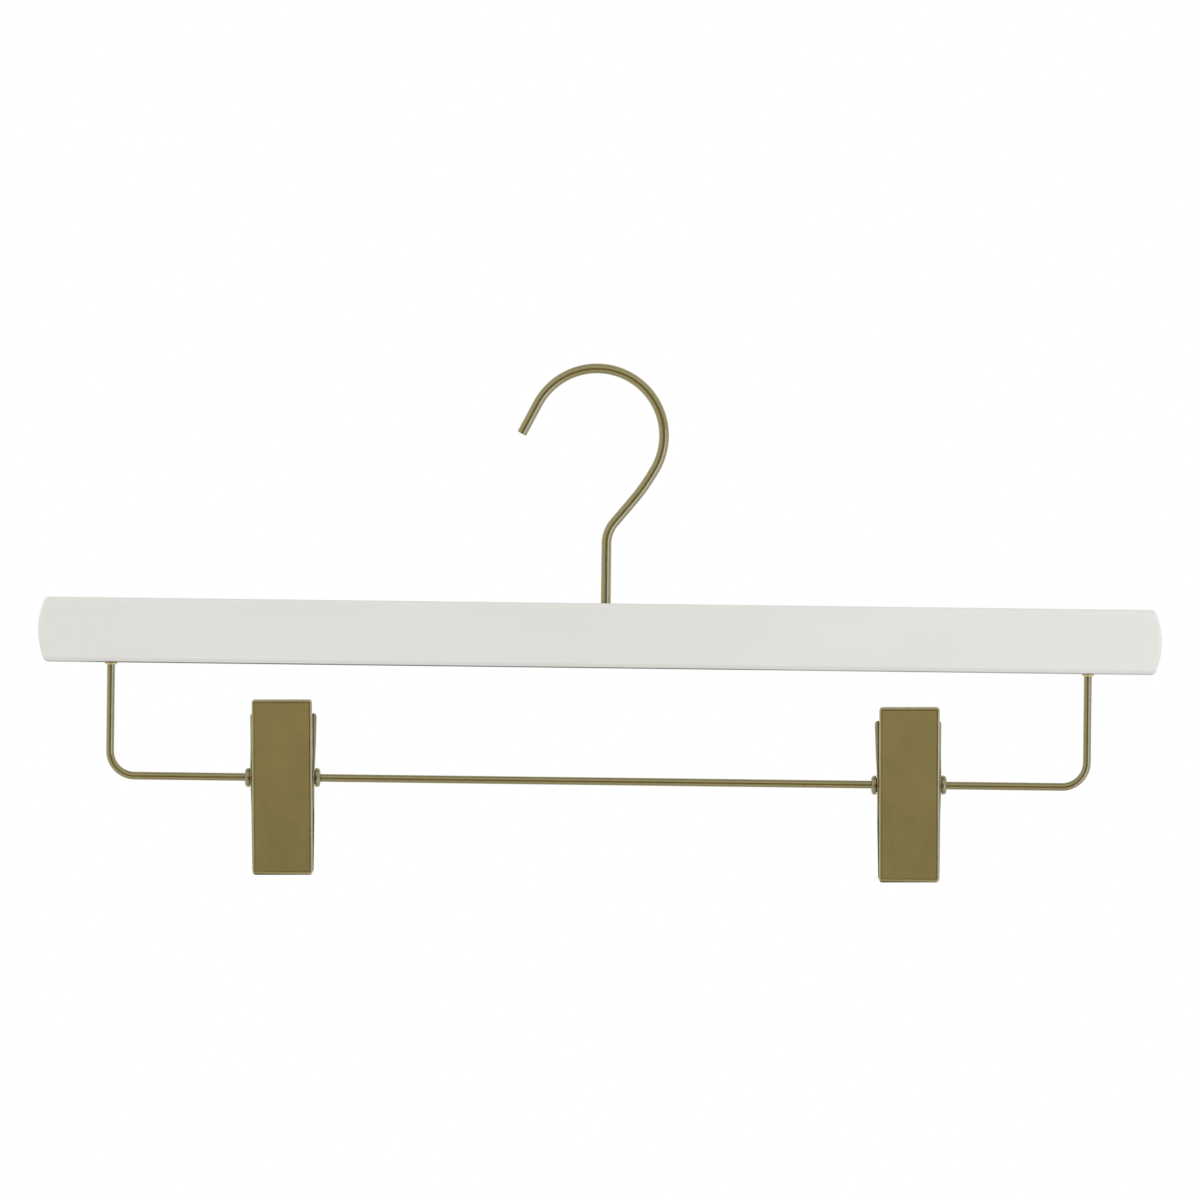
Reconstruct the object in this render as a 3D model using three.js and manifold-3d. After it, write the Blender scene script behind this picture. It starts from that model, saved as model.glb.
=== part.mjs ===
// Clip hanger: a lacquered wooden bar with a swivelling wire hook, a wire rail under the bar,
// and two sprung sheet-metal clips that slide on the rail.
// Millimetres, +Z up, +X along the bar, -Y towards the viewer. The origin is the hook's seat,
// the inside of its bowl that rests on a closet rail.

import * as THREE from 'three';
import { mergeVertices } from 'three/addons/utils/BufferGeometryUtils.js';
import Module from 'manifold-3d';

// Fits
const looseGap = 0.3;
const closedGap = 0.3;

// Bar
const barLength = 380;
const barHeight = 22;
const barThickness = 12;
const barEndRadius = 27;
const barEdgeRound = 1.5;

// Hook, a wire that runs up from the bar: shank, neck bend, straight, sweep, bowl and tip. Its shank
// stands a little to the right of the bar's middle and takes up what the bends leave of the height.
const hookWire = 3.4;
const hookOffset = 1.83;
const hookHeight = 81.2;
const neckRadius = 11.3;
const neckAngle = 39.9;
const neckStraight = 9.15;
const sweepRadius = 71.7;
const sweepAngle = 10.9;
const bowlRadius = 22.75;
const bowlAngle = 181.6;
const tipStraight = 11.4;

// Hook fastening in the bar's underside: a washer and the riveted end of the hook's wire
const washerRim = 1.8;
const washerThickness = 0.8;
const hookHeadRim = 1.2;
const hookHeadHeight = 1.2;
const hookHeadChamfer = 0.6;
const hookHeadRecess = 1.6;

// Rail, a wire bent into a wide U with its ends in the bar
const railWire = 2.7;
const railEndInset = 24.6;
const railDrop = 38.3;
const railBendRadius = 8.4;
const railInsertion = 13;

// Ferrules where the rail enters the bar
const ferruleWall = 0.25;
const ferruleSleeve = 3;
const ferruleFlangeRim = 0.15;
const ferruleFlangeHeight = 1;

// Clips: each is set in from its end of the rail
const leftClipInset = 58.58;
const rightClipInset = 60.2;
const sheet = 0.8;
const jawBend = 0.8;
const earRim = 2.45;
const earClearance = 0.5;
const flangeDepth = 3.4;
const flangeReach = 12;
const topLipDepth = 2.4;
const bottomLipDepth = 2;
const bottomCorner = 0.9;

const frontWidth = 20.4;
const frontAbove = 27.25;
const frontBelow = 32.5;
const frontTopCorner = 0.9;

const rearAbove = 22.3;
const rearBelow = 31.9;
const rearTopCorner = 1;
const rearBottomNarrowing = 1.3;

// Pivot tube, a hollow rivet whose ends are rolled into domed collars with countersunk mouths
const tubeWall = 0.6;
const flareRim = 0.75;
const flareLength = 1.3;
const flareLip = 0.25;
const flareCrown = 0.7;
const flareMouth = 0.55;

// Torsion spring
const springWire = 1.2;
const springPitch = 1.75;
const springTurns = 5;
const springLeg = 13;

// Grip pads
const padThickness = 1.5;
const padHeight = 11;
const padSideMargin = 0.6;
const padChamfer = 0.5;

// Facets, and how far a cutting tool runs past the faces that it cuts
const roundSides = 24;
const wireSides = 12;
const bendStep = 7.5;
const barEndSteps = 5;
const barEdgeSteps = 3;
const cornerSteps = 2;
const jawBendSteps = 2;
const earSteps = 7;
const crownSteps = 3;
const springSides = 5;
const springSteps = 8;
const overrun = 1;

// Sizes that follow from the ones above
const degrees = Math.PI / 180;
const hookBoreRadius = hookWire / 2 + looseGap;
const washerRadius = hookBoreRadius + washerRim;
const hookHeadRadius = hookWire / 2 + hookHeadRim;
const counterboreRadius = washerRadius + looseGap;
const counterboreDepth = 2 * looseGap + washerThickness + hookHeadHeight + hookHeadRecess;
const washerTop = -barHeight + counterboreDepth - looseGap;
const hookHeadTop = washerTop - washerThickness - looseGap;

const railSpan = barLength - 2 * railEndInset;
const railZ = -barHeight - railDrop;
const socketRadius = railWire / 2 + looseGap;
const ferruleSleeveRadius = socketRadius + ferruleWall;
const ferruleHoleRadius = ferruleSleeveRadius + looseGap;
const ferruleFlangeRadius = ferruleHoleRadius + ferruleFlangeRim;

const tubeBoreRadius = railWire / 2 + looseGap;
const tubeRadius = tubeBoreRadius + tubeWall;
const earHoleRadius = tubeRadius + looseGap;
const earRadius = earHoleRadius + earRim;
const flareRadius = earHoleRadius + flareRim;
const rearWidth = frontWidth + 2 * (looseGap + sheet);
const tubeHalfLength = rearWidth / 2 + looseGap + flareLength;
const springRadius = tubeRadius + looseGap + springWire / 2;

// A jaw's plate stands far enough from the pivot for the other jaw's ears to turn inside it, and both
// plates lean so that the pads' lower edges meet when the clip is shut.
const jawReach = earRadius + earClearance + sheet;
const padFace = sheet + looseGap + padThickness;
const padBottom = Math.min(frontBelow, rearBelow) - sheet - looseGap;
const padSwing = Math.hypot(padBottom, jawReach - padFace);
const jawTilt = Math.atan2(jawReach - padFace, padBottom) - Math.asin(closedGap / 2 / padSwing);

const acrossX = new THREE.Matrix4().makeBasis(
  new THREE.Vector3(0, 1, 0),
  new THREE.Vector3(0, 0, 1),
  new THREE.Vector3(1, 0, 0),
);
const upright = new THREE.Matrix4().makeBasis(
  new THREE.Vector3(1, 0, 0),
  new THREE.Vector3(0, 0, 1),
  new THREE.Vector3(0, -1, 0),
);

const paint = {
  lacquer: { color: 0xdedcd6, roughness: 0.35, metalness: 0 },
  brass: { color: 0x8a7c4e, roughness: 0.38, metalness: 0.9 },
  steel: { color: 0x8d8b84, roughness: 0.35, metalness: 0.9 },
  rubber: { color: 0x2b2a28, roughness: 0.8, metalness: 0 },
};

const wasm = await Module();
wasm.setup();

function solidFrom(geometry) {
  geometry.deleteAttribute('normal');
  geometry.deleteAttribute('uv');
  const merged = mergeVertices(geometry, 1e-4);
  return new wasm.Manifold(new wasm.Mesh({
    numProp: 3,
    vertProperties: new Float32Array(merged.attributes.position.array),
    triVerts: new Uint32Array(merged.index.array),
  }));
}

function geometryFrom(solid) {
  const mesh = solid.getMesh();
  const geometry = new THREE.BufferGeometry();
  geometry.setAttribute('position', new THREE.BufferAttribute(mesh.vertProperties, 3));
  geometry.setIndex(new THREE.BufferAttribute(mesh.triVerts, 1));
  geometry.computeVertexNormals();
  return geometry;
}

function part(name, geometry, finish) {
  const mesh = new THREE.Mesh(geometry, new THREE.MeshStandardMaterial(paint[finish]));
  mesh.name = name;
  return mesh;
}

function circlePoints(radius, sides) {
  const points = [];
  for (let i = 0; i < sides; i += 1) {
    const angle = (2 * Math.PI * i) / sides;
    points.push(new THREE.Vector2(radius * Math.cos(angle), radius * Math.sin(angle)));
  }
  return points;
}

function drillZ(radius, x, bottom, top) {
  const drill = new THREE.CylinderGeometry(radius, radius, top - bottom, roundSides);
  drill.rotateX(Math.PI / 2);
  drill.translate(x, 0, (top + bottom) / 2);
  return drill;
}

// A ring turned about the Y axis from a closed profile of [radius, height] points.
function ringGeometry(profile) {
  const closed = [...profile, profile[0]].map(([radius, height]) => new THREE.Vector2(radius, height));
  const ring = new THREE.LatheGeometry(closed, roundSides);
  ring.deleteAttribute('normal');
  ring.deleteAttribute('uv');
  const merged = mergeVertices(ring, 1e-4);
  merged.computeVertexNormals();
  return merged;
}

// A route for a wire: stations with a point and a heading, each station one ring of the wire.
class WireRoute extends THREE.Curve {
  constructor() {
    super();
    this.stations = [];
  }

  add(point, heading) {
    this.stations.push({ point, heading });
  }

  station(u) {
    return this.stations[Math.round(u * (this.stations.length - 1))];
  }

  getPointAt(u, target = new THREE.Vector3()) {
    return target.copy(this.station(u).point);
  }

  getTangentAt(u, target = new THREE.Vector3()) {
    return target.copy(this.station(u).heading);
  }
}

// A route in the XZ plane, drawn from a start point by straight runs and bends.
class FlatRoute extends WireRoute {
  constructor(x, z, headingDegrees) {
    super();
    this.x = x;
    this.z = z;
    this.angle = headingDegrees * degrees;
    this.mark();
  }

  mark() {
    const heading = new THREE.Vector3(Math.cos(this.angle), 0, Math.sin(this.angle));
    this.add(new THREE.Vector3(this.x, 0, this.z), heading);
  }

  run(length) {
    this.x += length * Math.cos(this.angle);
    this.z += length * Math.sin(this.angle);
    this.mark();
  }

  bend(radius, turnDegrees) {
    const side = Math.sign(turnDegrees);
    const count = Math.max(2, Math.ceil(Math.abs(turnDegrees) / bendStep));
    const centreX = this.x - side * radius * Math.sin(this.angle);
    const centreZ = this.z + side * radius * Math.cos(this.angle);
    for (let i = 0; i < count; i += 1) {
      this.angle += (turnDegrees * degrees) / count;
      this.x = centreX + side * radius * Math.sin(this.angle);
      this.z = centreZ - side * radius * Math.cos(this.angle);
      this.mark();
    }
  }
}

function wireGeometry(route, diameter, sides) {
  return new THREE.ExtrudeGeometry(new THREE.Shape(circlePoints(diameter / 2, sides)), {
    steps: route.stations.length - 1,
    extrudePath: route,
    bevelEnabled: false,
  });
}

// Bar: an outline with bowed ends, rounded along its edges, drilled for the hook and for the rail.
function barGeometry() {
  const halfHeight = barHeight / 2;
  const arcX = barLength / 2 - barEndRadius;
  const arcHalf = Math.asin(halfHeight / barEndRadius);
  const outline = new THREE.Shape();
  outline.absarc(arcX, 0, barEndRadius, -arcHalf, arcHalf, false);
  outline.absarc(-arcX, 0, barEndRadius, Math.PI - arcHalf, Math.PI + arcHalf, false);

  const flatDepth = barThickness - 2 * barEdgeRound;
  const blank = new THREE.ExtrudeGeometry(outline, {
    depth: flatDepth,
    curveSegments: barEndSteps,
    bevelEnabled: true,
    bevelThickness: barEdgeRound,
    bevelSize: barEdgeRound,
    bevelOffset: -barEdgeRound,
    bevelSegments: barEdgeSteps,
  });
  blank.translate(0, 0, -flatDepth / 2);
  blank.applyMatrix4(upright);
  blank.translate(0, 0, -halfHeight);

  const under = -barHeight - overrun;
  const drills = [
    drillZ(hookBoreRadius, hookOffset, under, overrun),
    drillZ(counterboreRadius, hookOffset, under, -barHeight + counterboreDepth),
  ];
  for (const x of [-railSpan / 2, railSpan / 2]) {
    drills.push(drillZ(socketRadius, x, under, -barHeight + railInsertion + looseGap));
    drills.push(drillZ(ferruleHoleRadius, x, under, -barHeight + ferruleSleeve + looseGap));
  }
  let solid = solidFrom(blank);
  for (const drill of drills) {
    solid = solid.subtract(solidFrom(drill));
  }
  return geometryFrom(solid);
}

// Hook: the part of its route between the shank and the bowl.
function bendNeck(route) {
  route.bend(neckRadius, -neckAngle);
  route.run(neckStraight);
  route.bend(sweepRadius, sweepAngle);
}

// The seat is the inside of the bowl, straight above the bowl's centre, measured from the shank's top.
function seatFromShank() {
  const route = new FlatRoute(0, 0, 90);
  bendNeck(route);
  const centreX = route.x - bowlRadius * Math.sin(route.angle);
  const centreZ = route.z + bowlRadius * Math.cos(route.angle);
  return { x: centreX, z: centreZ + bowlRadius - hookWire / 2 };
}

// The wire starts inside its riveted head under the washer and ends at the cut tip.
function hookGeometry(shankHeight) {
  const start = hookHeadTop - hookHeadHeight / 2;
  const route = new FlatRoute(hookOffset, start, 90);
  route.run(shankHeight - start);
  bendNeck(route);
  route.bend(bowlRadius, bowlAngle);
  route.run(tipStraight);

  const head = new THREE.CylinderGeometry(
    hookHeadRadius, hookHeadRadius - hookHeadChamfer, hookHeadHeight, roundSides,
  );
  head.rotateX(Math.PI / 2);
  head.translate(hookOffset, 0, start);
  return geometryFrom(solidFrom(wireGeometry(route, hookWire, wireSides)).add(solidFrom(head)));
}

function washerGeometry() {
  const washer = ringGeometry([
    [hookBoreRadius, 0],
    [washerRadius, 0],
    [washerRadius, washerThickness],
    [hookBoreRadius, washerThickness],
  ]);
  washer.rotateX(Math.PI / 2);
  washer.translate(hookOffset, 0, washerTop - washerThickness);
  return washer;
}

// Rail: down from one socket, round two bends and up into the other socket.
function railGeometry() {
  const socketTop = -barHeight + railInsertion;
  const leg = socketTop - railZ - railBendRadius;
  const route = new FlatRoute(-railSpan / 2, socketTop, -90);
  route.run(leg);
  route.bend(railBendRadius, 90);
  route.run(railSpan - 2 * railBendRadius);
  route.bend(railBendRadius, 90);
  route.run(leg);
  return wireGeometry(route, railWire, wireSides);
}

function ferruleGeometry(x) {
  const flangeTop = -looseGap;
  const ferrule = ringGeometry([
    [socketRadius, flangeTop - ferruleFlangeHeight],
    [ferruleFlangeRadius, flangeTop - ferruleFlangeHeight / 2],
    [ferruleFlangeRadius, flangeTop],
    [ferruleSleeveRadius, flangeTop],
    [ferruleSleeveRadius, ferruleSleeve],
    [socketRadius, ferruleSleeve],
  ]);
  ferrule.rotateX(Math.PI / 2);
  ferrule.translate(x, 0, -barHeight);
  return ferrule;
}

// Outline of a jaw plate, in X and Z from the pivot, narrowing below its ears.
function plateOutline(halfWidth, halfBottom, above, below, topCorner, lowCorner) {
  const quarter = Math.PI / 2;
  const shape = new THREE.Shape();
  shape.absarc(halfBottom - lowCorner, lowCorner - below, lowCorner, -quarter, 0, false);
  shape.lineTo(halfWidth, -flangeReach);
  shape.absarc(halfWidth - topCorner, above - topCorner, topCorner, 0, quarter, false);
  shape.absarc(topCorner - halfWidth, above - topCorner, topCorner, quarter, 2 * quarter, false);
  shape.lineTo(-halfWidth, -flangeReach);
  shape.absarc(lowCorner - halfBottom, lowCorner - below, lowCorner, 2 * quarter, 3 * quarter, false);
  return shape;
}

// Outline of a jaw from its side, in Y and Z from the pivot: lips, flanges and a round ear.
function sideOutline(above, below) {
  const outside = -jawReach - overrun;
  const flangeY = flangeDepth - jawReach;
  const flangeSpan = Math.hypot(flangeY, flangeReach);
  const earStart = Math.atan2(flangeReach, flangeY) - Math.acos(earRadius / flangeSpan);
  const shape = new THREE.Shape();
  shape.moveTo(outside, -below - overrun);
  shape.lineTo(bottomLipDepth - jawReach, -below - overrun);
  shape.lineTo(bottomLipDepth - jawReach, -below);
  shape.lineTo(flangeY, -flangeReach);
  shape.absarc(0, 0, earRadius, -earStart, earStart, false);
  shape.lineTo(flangeY, flangeReach);
  shape.lineTo(topLipDepth - jawReach, above);
  shape.lineTo(topLipDepth - jawReach, above + overrun);
  shape.lineTo(outside, above + overrun);
  return shape;
}

// A jaw with its plate on the -Y side of the pivot, folded from one sheet, before it is tilted.
function jawGeometry({ width, narrowing, above, below, topCorner }) {
  const half = width / 2;
  const low = half - narrowing / 2;
  const depth = 2 * jawReach;
  const outer = new THREE.ExtrudeGeometry(plateOutline(half, low, above, below, topCorner, bottomCorner), {
    depth,
    curveSegments: cornerSteps,
    bevelEnabled: true,
    bevelThickness: jawBend,
    bevelSize: jawBend,
    bevelOffset: -jawBend,
    bevelSegments: jawBendSteps,
  });
  outer.applyMatrix4(upright);
  outer.translate(0, depth + jawBend - jawReach, 0);

  const hollowOutline = plateOutline(
    half - sheet, low - sheet, above - sheet, below - sheet,
    Math.max(topCorner - sheet, sheet / 4), Math.max(bottomCorner - sheet, sheet / 4),
  );
  const hollow = new THREE.ExtrudeGeometry(hollowOutline, {
    depth,
    curveSegments: cornerSteps,
    bevelEnabled: false,
  });
  hollow.applyMatrix4(upright);
  hollow.translate(0, depth + sheet - jawReach, 0);

  const span = width + 2 * overrun;
  const side = new THREE.ExtrudeGeometry(sideOutline(above, below), {
    depth: span,
    curveSegments: earSteps,
    bevelEnabled: false,
  });
  side.translate(0, 0, -span / 2);
  side.applyMatrix4(acrossX);

  const hole = new THREE.CylinderGeometry(earHoleRadius, earHoleRadius, span, roundSides);
  hole.rotateZ(Math.PI / 2);

  const folded = solidFrom(outer).intersect(solidFrom(side)).subtract(solidFrom(hollow));
  return geometryFrom(folded.subtract(solidFrom(hole)));
}

// A grip pad on the inside of a jaw plate that lies on the -Y side, chamfered along its upper edge.
function padGeometry() {
  const halfWidth = frontWidth / 2 - sheet - padSideMargin;
  const back = sheet + looseGap - jawReach;
  const face = padFace - jawReach;
  const top = padHeight - padBottom;
  const shape = new THREE.Shape();
  shape.moveTo(back, -padBottom);
  shape.lineTo(face, -padBottom);
  shape.lineTo(face, top - padChamfer);
  shape.lineTo(face - padChamfer, top);
  shape.lineTo(back, top);
  const pad = new THREE.ExtrudeGeometry(shape, { depth: 2 * halfWidth, bevelEnabled: false });
  pad.translate(0, 0, -halfWidth);
  pad.applyMatrix4(acrossX);
  return pad;
}

function tubeGeometry() {
  const neck = tubeHalfLength - flareLength;
  const mouthRadius = tubeBoreRadius + flareMouth;
  const end = [[tubeRadius, neck], [flareRadius, neck + flareLip]];
  for (let i = 0; i <= crownSteps; i += 1) {
    const angle = (Math.PI / 2) * (i / crownSteps);
    end.push([
      mouthRadius + (flareRadius - mouthRadius) * Math.cos(angle),
      tubeHalfLength - flareCrown * (1 - Math.sin(angle)),
    ]);
  }
  end.push([tubeBoreRadius, tubeHalfLength - flareMouth]);
  const otherEnd = end.map(([radius, height]) => [radius, -height]).reverse();
  const tube = ringGeometry([...end, ...otherEnd]);
  tube.rotateZ(-Math.PI / 2);
  return tube;
}

// Spring: down a leg on the rear plate, round the tube, and up a leg on the front plate.
function springRoute() {
  const legEnd = jawReach - sheet - looseGap - springWire / 2;
  const legSpan = Math.hypot(springRadius, springLeg);
  const lean = jawTilt + Math.atan2(springLeg, springRadius) - Math.acos(legEnd / legSpan);
  const turn = 2 * Math.PI * springTurns + Math.PI - 2 * lean;
  const count = Math.round((springSteps * turn) / (2 * Math.PI));
  const climb = springPitch / (2 * Math.PI);
  const startX = (-climb * turn) / 2;
  const downRear = new THREE.Vector3(0, -Math.sin(lean), -Math.cos(lean));
  const upFront = new THREE.Vector3(0, -Math.sin(lean), Math.cos(lean));

  const coilPoint = (swept) => new THREE.Vector3(
    startX + climb * swept,
    springRadius * Math.cos(lean + swept),
    -springRadius * Math.sin(lean + swept),
  );
  const coilHeading = (swept) => new THREE.Vector3(
    climb,
    -springRadius * Math.sin(lean + swept),
    -springRadius * Math.cos(lean + swept),
  ).normalize();

  const rearFoot = coilPoint(0);
  const frontFoot = coilPoint(turn);
  const route = new WireRoute();
  route.add(rearFoot.clone().addScaledVector(downRear, -springLeg), downRear);
  route.add(rearFoot.clone().addScaledVector(downRear, -springWire), downRear);
  for (let i = 0; i <= count; i += 1) {
    const swept = (turn * i) / count;
    route.add(coilPoint(swept), coilHeading(swept));
  }
  route.add(frontFoot.clone().addScaledVector(upFront, springWire), upFront);
  route.add(frontFoot.clone().addScaledVector(upFront, springLeg), upFront);
  return route;
}

// The least gap between stretches of the spring's wire that are over half a turn apart along it.
function leastSelfGap(route) {
  const samples = [];
  let along = 0;
  for (let i = 1; i < route.stations.length; i += 1) {
    const from = route.stations[i - 1].point;
    const to = route.stations[i].point;
    const length = from.distanceTo(to);
    const pieces = Math.max(1, Math.ceil((2 * length) / springWire));
    for (let k = 0; k < pieces; k += 1) {
      samples.push({ point: from.clone().lerp(to, k / pieces), along: along + (length * k) / pieces });
    }
    along += length;
  }
  let least = Infinity;
  for (const a of samples) {
    for (const b of samples) {
      if (b.along - a.along > Math.PI * springRadius) {
        least = Math.min(least, a.point.distanceTo(b.point));
      }
    }
  }
  return least - springWire;
}

const frontJaw = {
  width: frontWidth,
  narrowing: 0,
  above: frontAbove,
  below: frontBelow,
  topCorner: frontTopCorner,
};
const rearJaw = {
  width: rearWidth,
  narrowing: rearBottomNarrowing,
  above: rearAbove,
  below: rearBelow,
  topCorner: rearTopCorner,
};

// A clip on the rail, its pivot at the group's origin.
function clip(name, x) {
  const frontSide = new THREE.Group();
  frontSide.rotation.x = jawTilt;
  frontSide.add(part(`${name}_front_jaw`, jawGeometry(frontJaw), 'brass'));
  frontSide.add(part(`${name}_front_pad`, padGeometry(), 'rubber'));

  const rearSide = new THREE.Group();
  rearSide.rotation.set(-jawTilt, 0, Math.PI);
  rearSide.add(part(`${name}_rear_jaw`, jawGeometry(rearJaw), 'brass'));
  rearSide.add(part(`${name}_rear_pad`, padGeometry(), 'rubber'));

  const route = springRoute();
  console.log(`${name}_spring least gap to itself: ${leastSelfGap(route).toFixed(2)} mm`);

  const group = new THREE.Group();
  group.position.set(x, 0, railZ);
  group.add(frontSide);
  group.add(rearSide);
  group.add(part(`${name}_pivot_tube`, tubeGeometry(), 'brass'));
  group.add(part(`${name}_spring`, wireGeometry(route, springWire, springSides), 'steel'));
  return group;
}

// The pieces are drawn with the bar's middle at X = 0 and its top at Z = 0, then set on the seat.
const seat = seatFromShank();
const seatHeight = hookHeight - hookWire;
const hanger = new THREE.Group();
hanger.position.set(-seat.x - hookOffset, 0, -seatHeight);
hanger.add(part('bar', barGeometry(), 'lacquer'));
hanger.add(part('hook', hookGeometry(seatHeight - seat.z), 'brass'));
hanger.add(part('hook_washer', washerGeometry(), 'steel'));
hanger.add(part('rail', railGeometry(), 'brass'));
hanger.add(part('rail_ferrule_left', ferruleGeometry(-railSpan / 2), 'brass'));
hanger.add(part('rail_ferrule_right', ferruleGeometry(railSpan / 2), 'brass'));
hanger.add(clip('left', -railSpan / 2 + leftClipInset));
hanger.add(clip('right', railSpan / 2 - rightClipInset));

export default hanger;
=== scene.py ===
import math

import bmesh
import bpy
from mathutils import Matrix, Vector


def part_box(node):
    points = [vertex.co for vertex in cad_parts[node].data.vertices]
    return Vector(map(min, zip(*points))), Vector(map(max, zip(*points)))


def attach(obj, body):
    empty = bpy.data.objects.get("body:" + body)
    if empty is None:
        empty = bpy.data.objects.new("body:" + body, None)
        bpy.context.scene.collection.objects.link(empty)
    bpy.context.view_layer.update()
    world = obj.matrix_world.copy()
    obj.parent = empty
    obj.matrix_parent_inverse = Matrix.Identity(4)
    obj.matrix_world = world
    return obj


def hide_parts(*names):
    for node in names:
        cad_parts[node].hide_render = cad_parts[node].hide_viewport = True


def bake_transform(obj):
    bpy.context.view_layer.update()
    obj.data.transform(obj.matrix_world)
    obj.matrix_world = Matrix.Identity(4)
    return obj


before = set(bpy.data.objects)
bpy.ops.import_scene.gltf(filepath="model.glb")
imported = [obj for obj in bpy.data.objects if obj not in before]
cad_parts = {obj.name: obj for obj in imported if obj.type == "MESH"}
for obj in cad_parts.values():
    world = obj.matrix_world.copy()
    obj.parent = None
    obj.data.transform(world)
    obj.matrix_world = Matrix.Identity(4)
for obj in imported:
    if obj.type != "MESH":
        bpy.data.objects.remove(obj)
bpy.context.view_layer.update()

# A clip hanger. Sizes are in metres; the origin is the hook's seat, +Z is up and -Y faces the viewer.
MM = 0.001
SIDE_WAYS = {"left": -1, "right": 1}

# Places, taken from the solids
bar_low, bar_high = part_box("bar")
washer_low, washer_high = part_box("hook_washer")
bar_x = (bar_low.x + bar_high.x) / 2
swivel_x = (washer_low.x + washer_high.x) / 2
bar_top = bar_high.z
bar_bottom = bar_low.z
bar_middle = (bar_top + bar_bottom) / 2
clip_places = {}
for side in SIDE_WAYS:
    tube_low, tube_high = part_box(side + "_pivot_tube")
    clip_places[side] = (tube_low + tube_high) / 2
rail_height = clip_places["left"].z

# Workshop: what counts as the same place, as sharp and as flat, and how finely round work is divided
NEAR = 0.01 * MM
MERGE_WITHIN = 0.0002 * MM
OVERRUN = 1 * MM
BORE_SIDES = 48
TURNED_SIDES = 64
SMOOTH_ANGLE = math.radians(35)
CORNER_ANGLE = math.radians(40)
EDGE_ANGLE = math.radians(50)
FOLD_ANGLE = math.radians(60)
EDGE_STEPS = 2
FLAT = 0.999
FACING = 0.9

# Bar
BAR_LENGTH = 380 * MM
BAR_HEIGHT = 22 * MM
BAR_THICKNESS = 12 * MM
BAR_END_RADIUS = 27 * MM
BAR_END_SIDES = 88
BAR_EDGE_ROUND = 1.5 * MM
BAR_EDGE_STEPS = 10
BAR_EDGE_FULLNESS = 0.65
BAR_CORNER = 1.25 * MM
BAR_CORNER_STEPS = 6
HOOK_BORE = 1.95 * MM
COUNTERBORE = 4.1 * MM
COUNTERBORE_DEPTH = 4.2 * MM
SOCKET_BORE = 1.65 * MM
SOCKET_DEPTH = 13.3 * MM
FERRULE_BORE = 1.95 * MM
FERRULE_BORE_DEPTH = 3.3 * MM

# Wires: a bend is its radius and the degrees it turns
HOOK_RADIUS = 1.7 * MM
HOOK_HEAD_TOP = -19.2 * MM
HOOK_SHANK = 20.222 * MM
HOOK_HEAD_HEIGHT = 1.2 * MM
HOOK_HEAD_RADIUS = 2.9 * MM
HOOK_HEAD_END_RADIUS = 2.3 * MM
HOOK_NECK = (11.3 * MM, -39.9)
HOOK_STRAIGHT = 9.15 * MM
HOOK_SWEEP = (71.7 * MM, 10.9)
HOOK_BOWL = (22.75 * MM, 181.6)
HOOK_TIP = 11.4 * MM
RAIL_RADIUS = 1.35 * MM
RAIL_SPAN = 330.8 * MM
RAIL_BEND = 8.4 * MM
RAIL_INSERTION = 13 * MM
WIRE_SIDES = 32
BEND_STEP = 3
LEAST_BEND_STEPS = 2
TIP_CHAMFER = 0.2 * MM

# Washer, and eyelets measured from the bar's underside
WASHER_BORE = 2 * MM
WASHER_RADIUS = 3.8 * MM
WASHER_THICKNESS = 0.8 * MM
WASHER_EDGE = 0.15 * MM
WASHER_EDGE_STEPS = 3
EYELET_BORE = 1.65 * MM
EYELET_SLEEVE = 1.9 * MM
EYELET_BRIM = 2.15 * MM
EYELET_TOP = 3 * MM
EYELET_SEAT = -0.02 * MM
EYELET_BOTTOM = -0.7 * MM
EYELET_SHOULDER = 0.12 * MM
EYELET_ROLL = 0.22 * MM
EYELET_ROLL_DROP = 0.24 * MM
EYELET_BRIM_ARC = (60, -60)
EYELET_LIP_ARC = (-75, -170)
EYELET_STEPS = 6

# Clips, measured from the pivot
SHEET = 0.45 * MM
SHEET_EDGE_ROUND = 0.1 * MM
BEND_RADIUS = 0.62 * MM
BEND_STEPS = 5
JAW_CORNER = 1.15 * MM
JAW_CORNER_STEPS = 5
JAW_REACH = 6.3 * MM
JAW_TILT = math.radians(6.573)
CLIP_LEAN = math.radians(-0.75)
HALF_TURN = math.pi
EAR_RADIUS = 5 * MM
EAR_ANGLE = 37.5
EAR_STEPS = 10
EAR_HOLE = 2.8 * MM
FLANGE_REACH = 12 * MM
FLANGE_DEPTH = 3.4 * MM
TOP_LIP = 2.4 * MM
BOTTOM_LIP = 2 * MM
CREASE_MARGIN = 0.12 * MM
CREASE_RISE = 0.4 * MM
CREASE_WALL = 0.08 * MM
CREASE_FLOOR = 0.14 * MM
CREASE_DEPTH = 0.14 * MM
FRONT_JAW = {
    "top_width": 20.4 * MM,
    "width": 20.4 * MM,
    "low_width": 20.4 * MM,
    "above": 27.25 * MM,
    "below": 32.5 * MM,
    "rim": 0,
}
REAR_JAW = {
    "top_width": 22.6 * MM,
    "width": 21.6 * MM,
    "low_width": 20.8 * MM,
    "above": 22.3 * MM,
    "below": 31.9 * MM,
    "rim": 0.5 * MM,
}
TUBE_BORE = 1.65 * MM
TUBE_RADIUS = 2.25 * MM
TUBE_HALF = 12.75 * MM
TUBE_MOUTH = 2.2 * MM
MOUTH_ROLL = 0.25 * MM
MOUTH_ROLL_DROP = 0.12 * MM
MOUTH_DEPTH = 0.55 * MM
COLLAR_RADIUS = 3.3 * MM
COLLAR_LENGTH = 1.8 * MM
COLLAR_CROWN = 1.15 * MM
COLLAR_CROWN_STEPS = 8
COLLAR_FILLET = 0.2 * MM
COLLAR_ROUND = 0.15 * MM
COLLAR_HEEL = 0.12 * MM
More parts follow.
